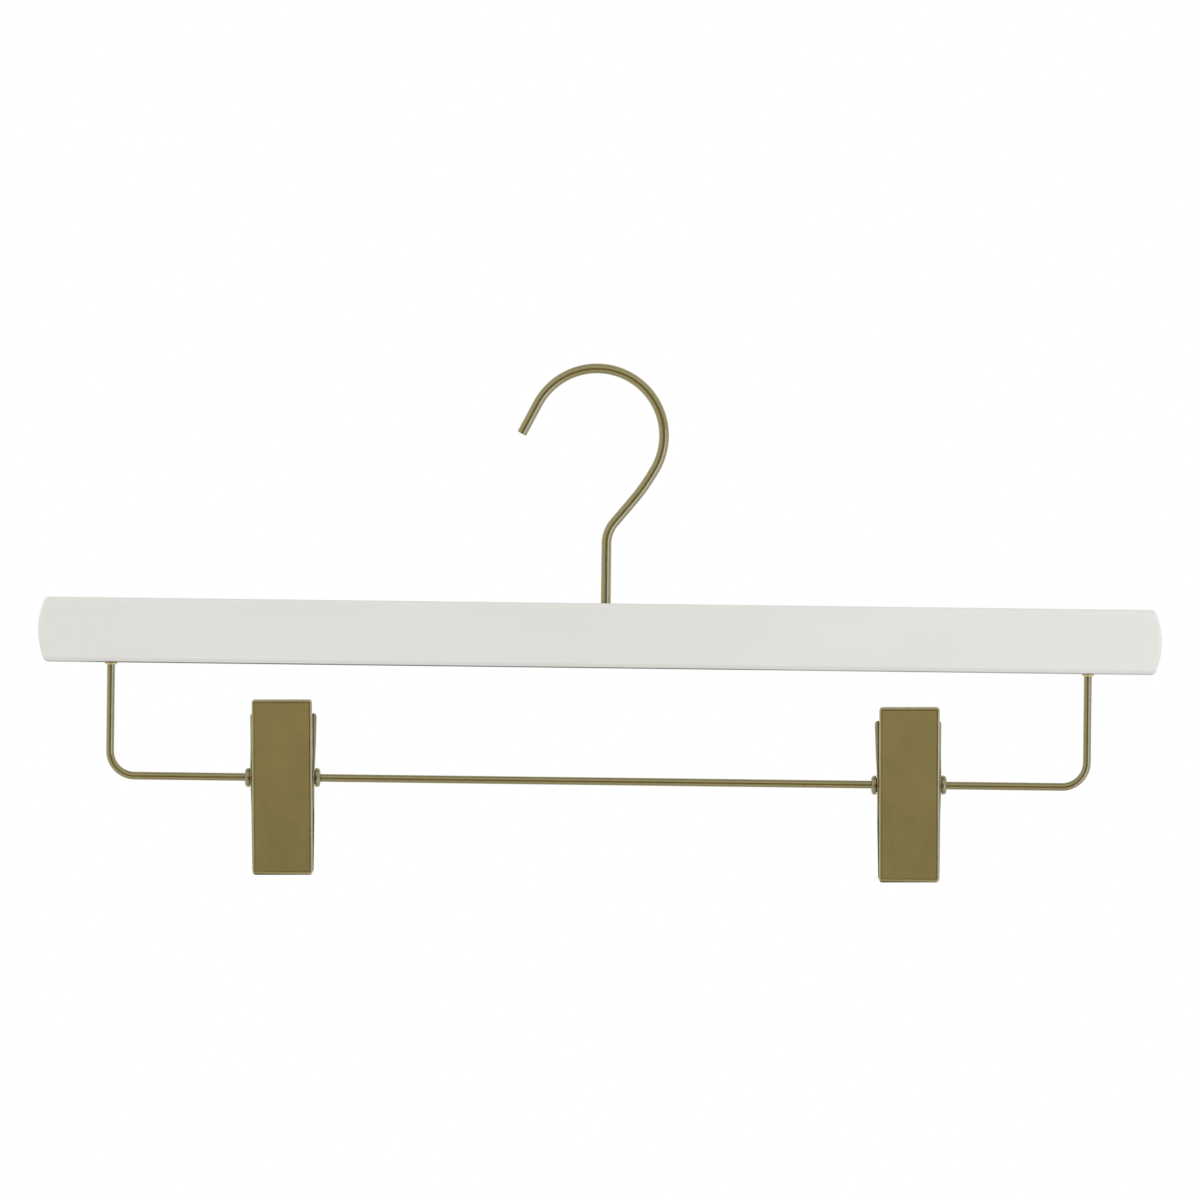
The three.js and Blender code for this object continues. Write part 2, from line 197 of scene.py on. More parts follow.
COLLAR_SIDE = 0.3 * MM
SPRING_WIRE = 0.6 * MM
SPRING_WIRE_SIDES = 14
SPRING_RADIUS = 3.15 * MM
SPRING_PITCH = 1.75 * MM
SPRING_TURNS = 5
SPRING_STEPS = 32 * SPRING_TURNS
SPRING_LEG = 13 * MM
SPRING_LEG_REACH = 5.2 * MM
PAD_HALF_WIDTH = 8.8 * MM
PAD_BACK = -5.83 * MM
PAD_FACE = -3.7 * MM
PAD_TOP = -19.8 * MM
PAD_BOTTOM = -30.8 * MM
PAD_RIBS = 6
PAD_PITCH_IN_GROOVES = 3
PAD_GROOVE = 0.35 * MM
PAD_EDGE_ROUND = 0.14 * MM

# Painted shade and a painted shadow line on the bar: the two ends of the stretch in which each comes or
# goes.
# BAR_OUTSIDE is measured from the plane in the middle of its thickness, TOP_ARRIS_SHADE down from its top,
# the
# LOW_ARRIS_SHADE stretches and SHADOW_LINE_HEIGHT up from its underside, SHADOW_LINE_FADE and
# SHADOW_LINE_END along it from the middle of its length.
BAR_OUTSIDE = (4.3 * MM, 5.2 * MM)
LOW_ARRIS_SHADE_START = (0.75 * MM, 0.95 * MM)
LOW_ARRIS_SHADE_END = (1.45 * MM, 1.75 * MM)
TOP_ARRIS_SHADE = (0.7 * MM, 1.2 * MM)
SHADOW_LINE_HEIGHT = (0.25 * MM, 0.52 * MM)
SHADOW_LINE_FADE = (30 * MM, 75 * MM)
SHADOW_LINE_END = (166 * MM, 178 * MM)

# Marks on the clips: such stretches too, in height from the pivot. GRIP_SHADE_TO_HANDLE_LIGHT is painted
# light, the
# LINE_SHADE stretches add painted shade to the tarnish in the pressed line, FOOT_HIGHLIGHT_BAND is a
# painted highlight and
# FOOT_SHADOW_EDGE a painted shadow. LINE_SHADE_ACROSS is measured sideways from the pivot, and CLOSING_RIM
# from the line where the rims of the two plates close on each other.
GRIP_SHADE_TO_HANDLE_LIGHT = (-28 * MM, 25 * MM)
LINE_SHADE_ACROSS = (-6 * MM, 0.0)
LINE_SHADE_UP = (-12 * MM, 8 * MM)
LINE_SHADE_TOP = (24.9 * MM, 25.2 * MM)
LINE_SHADE_FOOT = (-31.5 * MM, -31.2 * MM)
FOOT_HIGHLIGHT_BAND = (-32.05 * MM, -31.85 * MM)
FOOT_SHADOW_EDGE = (-32.65 * MM, -32.4 * MM)
CLOSING_RIM = (-0.45 * MM, -0.3 * MM)
CLOSING_HEIGHT = (-12 * MM, -10 * MM)

# Camera and studio
CAMERA_LENS = 266.3
CAMERA_PLACE = (1.73 * MM, -3.006, -76.7 * MM)
CAMERA_ROLL = math.radians(-0.7)
UP = (0, 0, 1)
VIEWER_WAY = (0.19, -1, 0)
VIEWER_PATCH = (0.62, 0.955)
VIEWER_DROP = 0.17
VIEWER_HEIGHT = (0.3, 0.46)
ROOM_ENDS = (0.75, 1.0)
ROOM_END_DIM = 0.3
SOFTBOX_WAY = (0.66, -0.75, 0)
SOFTBOX_FRONT = (0.3, 0.4)
SOFTBOX_ACROSS = (0.75, 0.66, 0)
SOFTBOX_WIDTH = (0.21, 0.26)
SOFTBOX_DROP = 0.28
SOFTBOX_HEIGHT = (0.33, 0.41)
FILL_RISE = (-0.7, -0.2)
FILL_LEVELS = (0.03, 1.3)
FILL_CEILING = (0.2, 0.9)
FILL_CEILING_DIM = 0.5
LAMP_POWERS = {"left": 0.07, "right": 0.15}
LAMP_SIZE = 0.2
LAMP_DISTANCE = 0.3
LAMP_RISE = 0.03
LAMP_PITCH = math.radians(84)
LAMP_TURN = math.radians(20)
FLOOR_HEIGHT = -0.36
FLOOR_RADIUS = 0.5
FLOOR_SIDES = 96
FLOOR_FADE = (0.2 * FLOOR_RADIUS, 0.97 * FLOOR_RADIUS)


def let_go():
    """Deselect everything."""
    bpy.ops.object.select_all(action="DESELECT")


def take(piece):
    """Select one piece alone."""
    let_go()
    piece.select_set(True)
    bpy.context.view_layer.objects.active = piece


def open_mesh(piece):
    """Start to edit a piece's mesh."""
    take(piece)
    bpy.ops.object.mode_set(mode="EDIT")


def close_mesh():
    """Stop editing."""
    bpy.ops.object.mode_set(mode="OBJECT")


def pick(piece, kind, wanted):
    """In edit mode, select the faces, edges or points that pass a test."""
    bpy.ops.mesh.select_mode(type=kind)
    bpy.ops.mesh.select_all(action="DESELECT")
    mesh = bmesh.from_edit_mesh(piece.data)
    parts = {"VERT": mesh.verts, "EDGE": mesh.edges, "FACE": mesh.faces}[kind]
    for part in parts:
        if wanted(part):
            part.select_set(True)
    mesh.select_flush_mode()
    bmesh.update_edit_mesh(piece.data)


def draw_out(step):
    """In edit mode, extrude what is selected by a step."""
    bpy.ops.mesh.extrude_region_move(TRANSFORM_OT_translate={"value": step})


def slice_at(height):
    """In edit mode, cut the whole mesh level through at a height."""
    bpy.ops.mesh.select_all(action="SELECT")
    bpy.ops.mesh.bisect(plane_co=(0, 0, height), plane_no=(0, 0, 1))


def settle(piece):
    """Put the piece's place into its mesh, so that its own origin is the hook's seat."""
    take(piece)
    bpy.ops.object.transform_apply(location=True, rotation=True, scale=True)


def work(piece, kind, **settings):
    """Add a modifier, set it and apply it."""
    take(piece)
    modifier = piece.modifiers.new(kind.title(), kind)
    for name, value in settings.items():
        setattr(modifier, name, value)
    bpy.ops.object.modifier_apply(modifier=modifier.name)


def round_edges(piece, width):
    """Take the sharpness off a piece's edges."""
    work(
        piece,
        "BEVEL",
        width=width,
        segments=EDGE_STEPS,
        limit_method="ANGLE",
        angle_limit=EDGE_ANGLE,
    )


def clean_skin(piece):
    """Merge what lies together, turn the faces outwards and smooth all but the sharp edges."""
    open_mesh(piece)
    bpy.ops.mesh.select_all(action="SELECT")
    bpy.ops.mesh.remove_doubles(threshold=MERGE_WITHIN)
    bpy.ops.mesh.normals_make_consistent(inside=False)
    close_mesh()
    take(piece)
    bpy.ops.object.shade_smooth_by_angle(angle=SMOOTH_ANGLE)


def drill(piece, radius, start, depth, axis="Z"):
    """Bore a round hole from a start point along +Z or +X."""
    let_go()
    turn = (0, 0, 0) if axis == "Z" else (0, math.pi / 2, 0)
    shift = Vector((0, 0, depth / 2)) if axis == "Z" else Vector((depth / 2, 0, 0))
    bpy.ops.mesh.primitive_cylinder_add(
        vertices=BORE_SIDES, radius=radius, depth=depth, location=Vector(start) + shift, rotation=turn
    )
    bit = bpy.context.object
    settle(bit)
    work(piece, "BOOLEAN", operation="DIFFERENCE", object=bit, solver="EXACT")
    bpy.data.objects.remove(bit)


def round_arc(radius, start, end, steps, centre):
    """Points of an arc, as radius and height, from one angle to another in degrees."""
    points = []
    for i in range(steps + 1):
        angle = math.radians(start + (end - start) * i / steps)
        points.append((centre[0] + radius * math.cos(angle), centre[1] + radius * math.sin(angle)))
    return points


def turn_ring(name, profile):
    """Lathe work about Z: a loop drawn out and widened from point to point of a closed profile."""
    let_go()
    radius, height = profile[0]
    bpy.ops.mesh.primitive_circle_add(vertices=TURNED_SIDES, radius=radius, location=(0, 0, height))
    piece = bpy.context.object
    piece.name = name
    settle(piece)
    open_mesh(piece)
    bpy.ops.mesh.select_mode(type="EDGE")
    bpy.ops.mesh.select_all(action="SELECT")
    for next_radius, next_height in profile[1:]:
        draw_out((0, 0, next_height - height))
        share = next_radius / radius
        bpy.ops.transform.resize(value=(share, share, 1), center_override=(0, 0, next_height))
        radius, height = next_radius, next_height
    bpy.ops.mesh.select_all(action="DESELECT")
    bpy.ops.mesh.select_non_manifold()
    bpy.ops.mesh.bridge_edge_loops()
    close_mesh()
    return piece


class Wire:
    """A wire drawn in the XZ plane, which keeps the place and heading of its working end."""

    def __init__(self, name, x, z, heading, radius):
        let_go()
        bpy.ops.mesh.primitive_circle_add(
            vertices=WIRE_SIDES, radius=radius, fill_type="NGON", location=(x, 0, z)
        )
        self.piece = bpy.context.object
        self.piece.name = name
        settle(self.piece)
        open_mesh(self.piece)
        bpy.ops.mesh.select_mode(type="FACE")
        bpy.ops.mesh.select_all(action="SELECT")
        self.x = x
        self.z = z
        self.angle = math.radians(heading)

    def run(self, length):
        """Go straight on."""
        step = (length * math.cos(self.angle), 0, length * math.sin(self.angle))
        draw_out(step)
        self.x += step[0]
        self.z += step[2]

    def widen(self, share):
        """Make the working end wider or narrower."""
        bpy.ops.transform.resize(value=(share, share, share), center_override=(self.x, 0, self.z))

    def bend(self, radius, degrees):
        """Go round a bend, to the left where the degrees are above 0."""
        side = 1 if degrees > 0 else -1
        middle_x = self.x - side * radius * math.sin(self.angle)
        middle_z = self.z + side * radius * math.cos(self.angle)
        turn = math.radians(degrees)
        bpy.ops.mesh.spin(
            steps=max(LEAST_BEND_STEPS, round(abs(degrees) / BEND_STEP)),
            angle=turn,
            center=(middle_x, 0, middle_z),
            axis=(0, 1, 0),
        )
        self.angle += turn
        self.x = middle_x + side * radius * math.sin(self.angle)
        self.z = middle_z - side * radius * math.cos(self.angle)

    def finish(self):
        """Close the mesh and hand the wire over."""
        close_mesh()
        clean_skin(self.piece)
        return self.piece


def is_corner(edge):
    """A sharp edge that runs straight back from the front."""
    run = edge.verts[0].co - edge.verts[1].co
    straight = abs(run.x) < NEAR and abs(run.z) < NEAR
    return straight and len(edge.link_faces) == 2 and edge.calc_face_angle() > CORNER_ANGLE


def is_fold(edge):
    """An edge where the plate and its rim meet."""
    return len(edge.link_faces) == 2 and edge.calc_face_angle() > FOLD_ANGLE


def make_bar():
    """A disc cut to the bar's height, its halves drawn apart, then rounded and drilled."""
    let_go()
    bpy.ops.mesh.primitive_cylinder_add(
        vertices=BAR_END_SIDES,
        radius=BAR_END_RADIUS,
        depth=BAR_THICKNESS,
        location=(bar_x, 0, bar_middle),
        rotation=(math.pi / 2, 0, 0),
    )
    bar = bpy.context.object
    bar.name = "lacquered_bar"
    settle(bar)
    open_mesh(bar)
    for height, up in ((bar_top, 1), (bar_bottom, -1)):
        bpy.ops.mesh.select_all(action="SELECT")
        bpy.ops.mesh.bisect(
            plane_co=(bar_x, 0, height), plane_no=(0, 0, up), use_fill=True, clear_outer=True
        )
    draw = BAR_LENGTH / 2 - BAR_END_RADIUS
    for way in SIDE_WAYS.values():
        pick(bar, "VERT", lambda v: (v.co.x - bar_x) * way > 0)
        bpy.ops.transform.translate(value=(way * draw, 0, 0))
    pick(bar, "EDGE", is_corner)
    bpy.ops.mesh.bevel(
        offset=BAR_CORNER, segments=BAR_CORNER_STEPS, affect="EDGES", clamp_overlap=False
    )
    pick(bar, "EDGE", lambda e: e.calc_face_angle() > CORNER_ANGLE)
    bpy.ops.mesh.bevel(
        offset=BAR_EDGE_ROUND,
        segments=BAR_EDGE_STEPS,
        profile=BAR_EDGE_FULLNESS,
        affect="EDGES",
        clamp_overlap=False,
    )
    close_mesh()

    under = bar_bottom - OVERRUN
    drill(bar, HOOK_BORE, (swivel_x, 0, under), BAR_HEIGHT + 2 * OVERRUN)
    drill(bar, COUNTERBORE, (swivel_x, 0, under), COUNTERBORE_DEPTH + OVERRUN)
    for way in SIDE_WAYS.values():
        start = (bar_x + way * RAIL_SPAN / 2, 0, under)
        drill(bar, SOCKET_BORE, start, SOCKET_DEPTH + OVERRUN)
        drill(bar, FERRULE_BORE, start, FERRULE_BORE_DEPTH + OVERRUN)
    clean_skin(bar)
    return bar


def make_hook():
    """One wire from its riveted head under the bar to the cut tip of the bowl."""
    head_bottom = bar_top + HOOK_HEAD_TOP - HOOK_HEAD_HEIGHT
    wire = Wire("hook_wire", swivel_x, head_bottom, 90, HOOK_HEAD_END_RADIUS)
    wire.run(HOOK_HEAD_HEIGHT / 2)
    wire.widen(HOOK_HEAD_RADIUS / HOOK_HEAD_END_RADIUS)
    wire.run(HOOK_HEAD_HEIGHT / 2)
    wire.run(0)
    wire.widen(HOOK_RADIUS / HOOK_HEAD_RADIUS)
    wire.run(HOOK_SHANK - HOOK_HEAD_TOP)
    wire.bend(*HOOK_NECK)
    wire.run(HOOK_STRAIGHT)
    wire.bend(*HOOK_SWEEP)
    wire.bend(*HOOK_BOWL)
    wire.run(HOOK_TIP - TIP_CHAMFER)
    wire.run(TIP_CHAMFER)
    wire.widen(1 - TIP_CHAMFER / HOOK_RADIUS)
    return wire.finish()


def make_rail():
    """A wire bent into a wide U, its ends up in the bar."""
    start = bar_bottom + RAIL_INSERTION
    leg = start - rail_height - RAIL_BEND
    wire = Wire("rail_wire", bar_x - RAIL_SPAN / 2, start, -90, RAIL_RADIUS)
    wire.run(leg)
    wire.bend(RAIL_BEND, 90)
    wire.run(RAIL_SPAN - 2 * RAIL_BEND)
    wire.bend(RAIL_BEND, 90)
    wire.run(leg)
    return wire.finish()


def make_washer():
    """A flat ring with rounded edges, for the hook's head to bear on."""
    inner, outer = WASHER_BORE + WASHER_EDGE, WASHER_RADIUS - WASHER_EDGE
    low, high = WASHER_EDGE, WASHER_THICKNESS - WASHER_EDGE
    corners = {180: (inner, low), 270: (outer, low), 0: (outer, high), 90: (inner, high)}
    profile = []
    for start, centre in corners.items():
        profile += round_arc(WASHER_EDGE, start, start + 90, WASHER_EDGE_STEPS, centre)
    washer = turn_ring("stamped_washer", profile)
    washer.location = (swivel_x, 0, washer_low.z)
    settle(washer)
    clean_skin(washer)
    return washer


def make_ferrule(name, way):
    """An eyelet with a rolled brim under the bar."""
    brim = (EYELET_BRIM - EYELET_ROLL, EYELET_SEAT - EYELET_ROLL_DROP)
    lip = (EYELET_BORE + EYELET_ROLL, EYELET_BOTTOM + EYELET_ROLL)
    profile = [(EYELET_BORE, EYELET_TOP), (EYELET_SLEEVE, EYELET_TOP)]
    profile += [(EYELET_SLEEVE, EYELET_SEAT), (EYELET_BRIM - EYELET_SHOULDER, EYELET_SEAT)]
    profile += round_arc(EYELET_ROLL, *EYELET_BRIM_ARC, EYELET_STEPS, brim)
    profile += round_arc(EYELET_ROLL, *EYELET_LIP_ARC, EYELET_STEPS, lip)
    ferrule = turn_ring(name, profile)
    ferrule.location = (bar_x + way * RAIL_SPAN / 2, 0, bar_bottom)
    settle(ferrule)
    clean_skin(ferrule)
    return ferrule


def jaw_rows(above, below):
    """Heights along a jaw and how deep its side reaches back at each, from the bottom up."""
    rows = [(-below, BOTTOM_LIP), (-FLANGE_REACH, FLANGE_DEPTH)]
    for i in range(EAR_STEPS + 1):
        angle = math.radians(-EAR_ANGLE + 2 * EAR_ANGLE * i / EAR_STEPS)
        rows.append((EAR_RADIUS * math.sin(angle), JAW_REACH + EAR_RADIUS * math.cos(angle)))
    rows += [(FLANGE_REACH, FLANGE_DEPTH), (above, TOP_LIP)]
    return rows


def jaw_width(size, height):
    """How wide a jaw is at a height: it may widen or narrow from the ears to its ends."""
    if height > 0:
        return size["width"] + (size["top_width"] - size["width"]) * height / size["above"]
    return size["width"] - (size["low_width"] - size["width"]) * height / size["below"]


def fold_blank(name, size):
    """A flat blank cut to the jaw's width, with its rim and ears folded back."""
    above, below = size["above"], size["below"]
    rows = jaw_rows(above, below)
    let_go()
    bpy.ops.mesh.primitive_plane_add(
        size=1, location=(0, -JAW_REACH, (above - below) / 2), rotation=(math.pi / 2, 0, 0)
    )
    blank = bpy.context.object
    blank.name = name
    blank.scale = (size["width"], above + below, 1)
    settle(blank)
    open_mesh(blank)
    for height, _ in rows[1:-1]:
        slice_at(height)
    for height, _ in rows:
        pick(blank, "VERT", lambda v: abs(v.co.z - height) < NEAR)
        share = jaw_width(size, height) / size["width"]
        bpy.ops.transform.resize(value=(share, 1, 1), center_override=(0, -JAW_REACH, height))
    pick(blank, "EDGE", lambda e: e.is_boundary)
    draw_out((0, BOTTOM_LIP, 0))
    for height, depth in rows:
        pick(blank, "VERT", lambda v: abs(v.co.z - height) < NEAR and v.co.y > NEAR - JAW_REACH)
        bpy.ops.transform.translate(value=(0, depth - BOTTOM_LIP, 0))
    bpy.ops.mesh.select_all(action="SELECT")
    bpy.ops.mesh.normals_make_consistent(inside=False)
    pick(blank, "EDGE", is_corner)
    bpy.ops.mesh.bevel(
        offset=JAW_CORNER, segments=JAW_CORNER_STEPS, affect="EDGES", clamp_overlap=False
    )
    pick(blank, "EDGE", is_fold)
    bpy.ops.mesh.bevel(offset=BEND_RADIUS, segments=BEND_STEPS, affect="EDGES", clamp_overlap=False)
    close_mesh()
    return blank


def thicken_rims(jaw, size):
    """Draw the inner edges of a handle's side rims inwards, up to the turn of its corners."""
    inner_edge = size["top_width"] / 2 - SHEET - size["rim"]
    turn_x, turn_z = size["top_width"] / 2 - JAW_CORNER, size["above"] - JAW_CORNER

    def on_rim(point, way):
        across = point.co.x * way
        at_rim = point.co.z > FLANGE_REACH - NEAR and point.co.y > TOP_LIP - JAW_REACH - NEAR
        inner = across < jaw_width(size, point.co.z) / 2 - SHEET / 2
        if point.co.z > turn_z + NEAR:
            inner = math.hypot(across - turn_x, point.co.z - turn_z) < JAW_CORNER - SHEET / 2
        return at_rim and inner and across > inner_edge

    open_mesh(jaw)
    for way in SIDE_WAYS.values():
        pick(jaw, "VERT", lambda v: on_rim(v, way))
        bpy.ops.transform.resize(value=(0, 1, 1), center_override=(way * inner_edge, 0, 0))
    close_mesh()


def press_line(jaw, size):
    """Press a fine line into the plate's face, near its edge and a little higher at the foot."""
    above, below = size["above"], size["below"]
    front = NEAR - JAW_REACH
    side_edge = size["low_width"] / 2 - BEND_RADIUS - CREASE_MARGIN / 2
    low_edge = BEND_RADIUS + CREASE_MARGIN / 2 - below
    foot = JAW_CORNER + NEAR - below

    def on_face(face):
        return face.normal.y < -FLAT and face.calc_center_median().y < front

    def foot_shadow(point):
        low = low_edge < point.co.z < foot and abs(point.co.x) < side_edge
        return low and point.co.y < front

    def in_line(face):
        middle = face.calc_center_bounds()
        inside = abs(middle.x) < size["width"] / 4 and BOTTOM_LIP - below < middle.z < above - TOP_LIP
        return inside and face.normal.y < -FLAT and middle.y < front

    open_mesh(jaw)
    pick(jaw, "FACE", on_face)
    bpy.ops.mesh.inset(thickness=CREASE_MARGIN)
    pick(jaw, "VERT", foot_shadow)
    bpy.ops.transform.translate(value=(0, 0, CREASE_RISE))
    pick(jaw, "FACE", in_line)
    bpy.ops.mesh.inset(thickness=CREASE_WALL, depth=-CREASE_DEPTH)
    bpy.ops.mesh.inset(thickness=CREASE_FLOOR)
    bpy.ops.mesh.inset(thickness=CREASE_WALL, depth=CREASE_DEPTH)
    close_mesh()


def make_jaw(name, size):
    """A plate whose rim is folded back all round, with ears at the pivot, before it is tilted."""
    jaw = fold_blank(name, size)
    work(jaw, "SOLIDIFY", thickness=SHEET, offset=-1, use_even_offset=True)
    thicken_rims(jaw, size)
    drill(jaw, EAR_HOLE, (-size["width"] / 2 - OVERRUN, 0, 0), size["width"] + 2 * OVERRUN, "X")
    round_edges(jaw, SHEET_EDGE_ROUND)
    press_line(jaw, size)
    clean_skin(jaw)
    return jaw


def make_tube(name):
    """A hollow rivet whose ends are rolled into domed collars."""
    neck = TUBE_HALF - COLLAR_LENGTH
    end = [(TUBE_RADIUS, neck - COLLAR_FILLET), (TUBE_RADIUS + COLLAR_ROUND, neck)]
    end += [(COLLAR_RADIUS - COLLAR_ROUND, neck + COLLAR_HEEL), (COLLAR_RADIUS, neck + COLLAR_SIDE)]
    for i in range(COLLAR_CROWN_STEPS + 1):
        angle = math.radians(90 * i / COLLAR_CROWN_STEPS)
        radius = TUBE_MOUTH + (COLLAR_RADIUS - TUBE_MOUTH) * math.cos(angle)
        end.append((radius, TUBE_HALF - COLLAR_CROWN + COLLAR_CROWN * math.sin(angle)))
    end += [(TUBE_MOUTH - MOUTH_ROLL, TUBE_HALF - MOUTH_ROLL_DROP), (TUBE_BORE, TUBE_HALF - MOUTH_DEPTH)]
    other = [(radius, -height) for radius, height in reversed(end)]
    tube = turn_ring(name, end + other)
    tube.rotation_euler = (0, math.pi / 2, 0)
    settle(tube)
    clean_skin(tube)
    return tube


def make_pad(name):
    """A moulded grip with ribs across its face, before it is tilted."""
    let_go()
    bpy.ops.mesh.primitive_cube_add(
        size=1, location=(0, (PAD_BACK + PAD_FACE) / 2, (PAD_TOP + PAD_BOTTOM) / 2)
    )
    pad = bpy.context.object
    pad.name = name
    pad.scale = (2 * PAD_HALF_WIDTH, PAD_FACE - PAD_BACK, PAD_TOP - PAD_BOTTOM)
    settle(pad)
    open_mesh(pad)
    pitch = (PAD_TOP - PAD_BOTTOM) / PAD_RIBS
    groove = pitch / PAD_PITCH_IN_GROOVES
    grooves = [PAD_BOTTOM + i * pitch for i in range(1, PAD_RIBS)]
    for middle in grooves:
        slice_at(middle - groove / 2)
        slice_at(middle + groove / 2)

    def in_groove(face):
        middle = face.calc_center_median()
        return face.normal.y > FACING and any(abs(middle.z - height) < NEAR for height in grooves)

    pick(pad, "FACE", in_groove)
    draw_out((0, -PAD_GROOVE, 0))
    close_mesh()
    round_edges(pad, PAD_EDGE_ROUND)
    clean_skin(pad)
    return pad


def make_spring(name):
    """A close coil round the tube with a straight leg on each jaw."""
    leg_span = math.hypot(SPRING_RADIUS, SPRING_LEG)
    lean = JAW_TILT + math.atan2(SPRING_LEG, SPRING_RADIUS) - math.acos(SPRING_LEG_REACH / leg_span)
    turn = 2 * math.pi * SPRING_TURNS + math.pi - 2 * lean
    climb = SPRING_PITCH * turn / (2 * math.pi)
    let_go()
    bpy.ops.mesh.primitive_circle_add(vertices=SPRING_WIRE_SIDES, radius=SPRING_WIRE, location=(0, 0, 0))
    spring = bpy.context.object
    spring.name = name
    open_mesh(spring)
    bpy.ops.mesh.select_all(action="SELECT")
    bpy.ops.transform.translate(value=(-climb / 2, SPRING_RADIUS, 0))
    close_mesh()
    work(
        spring,
        "SCREW",
        axis="X",
        angle=-turn,
        screw_offset=climb,
        steps=SPRING_STEPS,
        render_steps=SPRING_STEPS,
        use_smooth_shade=True,
    )
    spring.rotation_euler = (-lean, 0, 0)
    settle(spring)
    back_leg = Vector((0, math.sin(lean), math.cos(lean)))
    front_leg = Vector((0, -math.sin(lean), math.cos(lean)))
    open_mesh(spring)
    for way, leg in ((-1, back_leg), (1, front_leg)):
        pick(spring, "EDGE", lambda e: e.is_boundary and e.verts[0].co.x * way > 0)
        draw_out(leg * SPRING_LEG)
        bpy.ops.mesh.edge_face_add()
    close_mesh()
    clean_skin(spring)
    return spring


def place(piece, centre, tilt=0, turn=0):
    """Tilt a piece about its pivot, turn it round and set it on the rail, where the clip hangs plumb."""
    piece.rotation_euler = (tilt, 0, turn)
    settle(piece)
    piece.rotation_euler = (0, CLIP_LEAN, 0)
    piece.location = centre
    settle(piece)
    return piece


def copy_of(piece, name):
    """Another piece like a pattern, with its own name."""
    take(piece)
    bpy.ops.object.duplicate()
    copy = bpy.context.object
    copy.name = name
    return copy


def shade(red, green, blue):
    """A colour for a shader socket."""
    return (red, green, blue, 1.0)


class Nodes:
    """A tree of shader nodes and short ways to add to it."""

    def __init__(self, tree):
        self.tree = tree
        self.tree.nodes.clear()

    def node(self, kind, settings=None, **inputs):
        """Add a node: an input given as another node's output is linked, and a plain value is set."""
        made = self.tree.nodes.new(kind)
        for name, value in (settings or {}).items():
            setattr(made, name, value)
        for name, value in inputs.items():
            self.feed(made.inputs[name.replace("_", " ")], value)
        return made

    def feed(self, socket, value):
        """Link a socket to an output, or set it to a plain value."""
        if isinstance(value, bpy.types.NodeSocket):
            self.tree.links.new(value, socket)
        else:
            socket.default_value = value

    def between(self, value, low, high, to_low=0.0, to_high=1.0):
        """A soft step from one value to another while the input goes from low to high."""
        made = self.node(
            "ShaderNodeMapRange",
            {"interpolation_type": "SMOOTHSTEP"},
            Value=value,
            From_Min=low,
            From_Max=high,
            To_Min=to_low,
            To_Max=to_high,
        )
        return made.outputs["Result"]

    def below(self, value, low, high):
        """1 under the low value, 0 over the high one."""
        return self.between(value, low, high, 1.0, 0.0)

    def maths(self, operation, first, second):
        """A value worked out from two others."""
        made = self.node("ShaderNodeMath", {"operation": operation})
        self.feed(made.inputs[0], first)
        self.feed(made.inputs[1], second)
        return made.outputs["Value"]

    def times(self, first, second):
        return self.maths("MULTIPLY", first, second)

    def plus(self, first, second):
        return self.maths("ADD", first, second)

    def minus(self, first, second):
        return self.maths("SUBTRACT", first, second)

    def larger(self, first, second):
        return self.maths("MAXIMUM", first, second)

    def without_sign(self, value):
        return self.maths("ABSOLUTE", value, 0.0)

    def shares(self, first, first_share, second, second_share):
        """A share of one value and a share of another, added up."""
        return self.plus(self.times(first, first_share), self.times(second, second_share))

    def vectors(self, operation, first, second):
        """A value from two directions or places."""
        made = self.node("ShaderNodeVectorMath", {"operation": operation})
        self.feed(made.inputs[0], first)
        self.feed(made.inputs[1], second)
        return made.outputs["Value"]

    def tint(self, share, first, second):
        """The first colour where the share is 0, the second where it is 1."""
        made = self.node("ShaderNodeMix", {"data_type": "RGBA"})
        self.feed(made.inputs["Factor"], share)
        self.feed(made.inputs[6], first)
        self.feed(made.inputs[7], second)
        return made.outputs[2]

    def mixed(self, share, first, second):
        """The first value where the share is 0, the second where it is 1."""
        made = self.node("ShaderNodeMix", {"data_type": "FLOAT"})
        self.feed(made.inputs["Factor"], share)
        self.feed(made.inputs[2], first)
        self.feed(made.inputs[3], second)
        return made.outputs[0]


